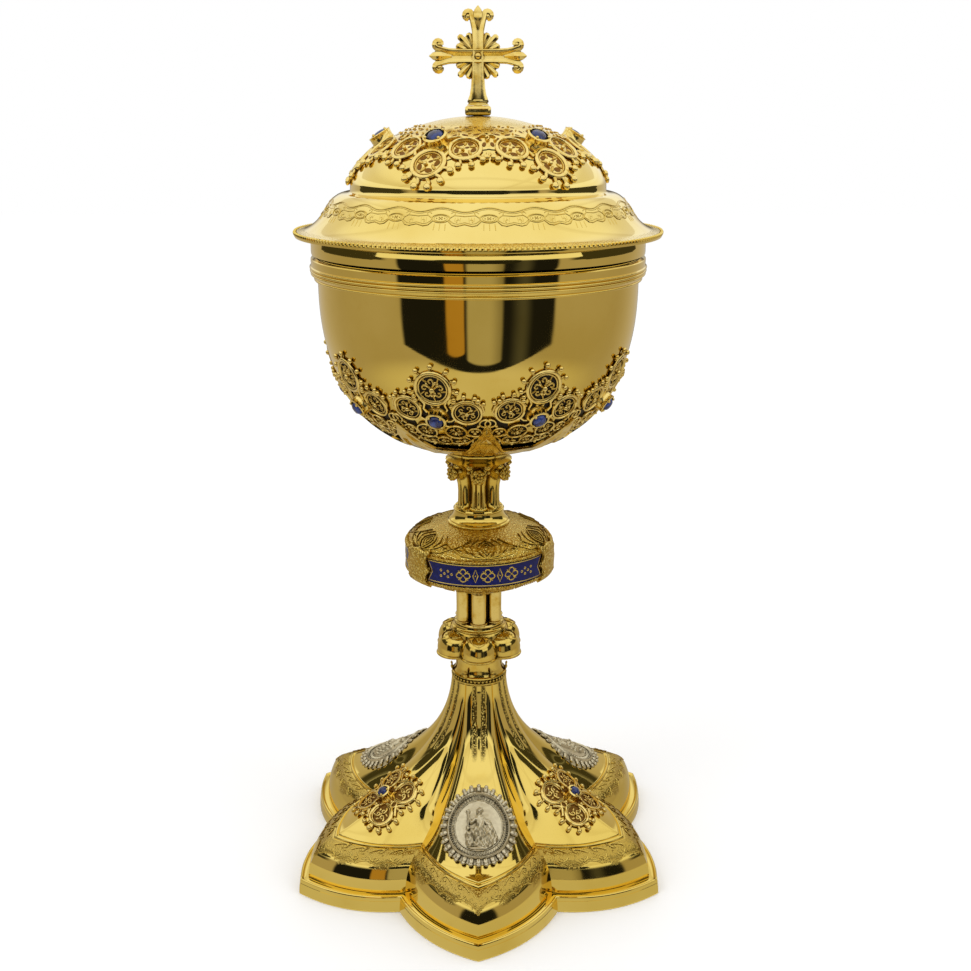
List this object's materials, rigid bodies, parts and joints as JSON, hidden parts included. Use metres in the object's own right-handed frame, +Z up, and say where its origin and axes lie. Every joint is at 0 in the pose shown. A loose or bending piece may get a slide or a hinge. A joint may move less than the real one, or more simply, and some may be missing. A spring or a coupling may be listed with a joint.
{
  "type": "ciborium",
  "caption": "Covered cup on a stem with a knop and a lobed, domed foot; the jewelled lid carries a cross and lifts off.",
  "frame": {"origin": "centre of the foot, on the surface it stands on", "axes": "+Z up along the stem, -Y towards the lobe of the foot that faces the viewer, +X to the viewer's right"},
  "size_m": [0.1292, 0.1484, 0.2998],
  "materials": {
    "gilt": "polished gilding",
    "gilt_matt": "matt gilding with brown recesses",
    "silver": "oxidised silver",
    "enamel": "glossy dark blue enamel",
    "lapis": "polished blue cabochon",
    "steel": "turned"
  },
  "bodies": {
    "vessel": {"foot_rim": "gilt", "foot_shell": "gilt", "foot_medallion_1": "silver", "foot_medallion_2": "silver", "foot_medallion_3": "silver", "foot_filigree_1": "gilt_matt", "foot_filigree_2": "gilt_matt", "foot_filigree_3": "gilt_matt", "foot_stone_1": "lapis", "foot_stone_2": "lapis", "foot_stone_3": "lapis", "neck_collar": "gilt", "lower_knop": "gilt", "column_cluster": "gilt", "knop_lower": "gilt_matt", "knop_upper": "gilt_matt", "enamel_plaque_1": "enamel", "enamel_plaque_2": "enamel", "enamel_plaque_3": "enamel", "knop_cartouche_1": "gilt_matt", "knop_cartouche_2": "gilt_matt", "knop_cartouche_3": "gilt_matt", "knop_collar": "gilt", "capital": "gilt", "calyx": "gilt", "bowl": "gilt", "bowl_rim_bead": "gilt", "bowl_filigree": "gilt_matt", "bowl_stone_1": "lapis", "bowl_stone_2": "lapis", "bowl_stone_3": "lapis", "bowl_stone_4": "lapis", "bowl_stone_5": "lapis", "bowl_stone_6": "lapis", "bowl_stone_7": "lapis", "bowl_stone_8": "lapis", "bowl_stone_9": "lapis", "tie_rod": "steel", "tie_washer": "steel", "tie_nut": "steel"},
    "lid": {"lid_shell": "gilt", "lid_edge_band": "gilt", "lid_bezel": "gilt", "lid_filigree": "gilt_matt", "lid_stone_1": "lapis", "lid_stone_2": "lapis", "lid_stone_3": "lapis", "lid_stone_4": "lapis", "lid_stone_5": "lapis", "lid_stone_6": "lapis", "finial_base": "gilt", "finial_cross": "gilt", "finial_nut": "steel"}
  },
  "joints": [
    {"name": "lid_lift", "type": "slide", "parent": "vessel", "child": "lid", "axis": [0, 0, 1], "range_m": [0, 0.15]}
  ]
}
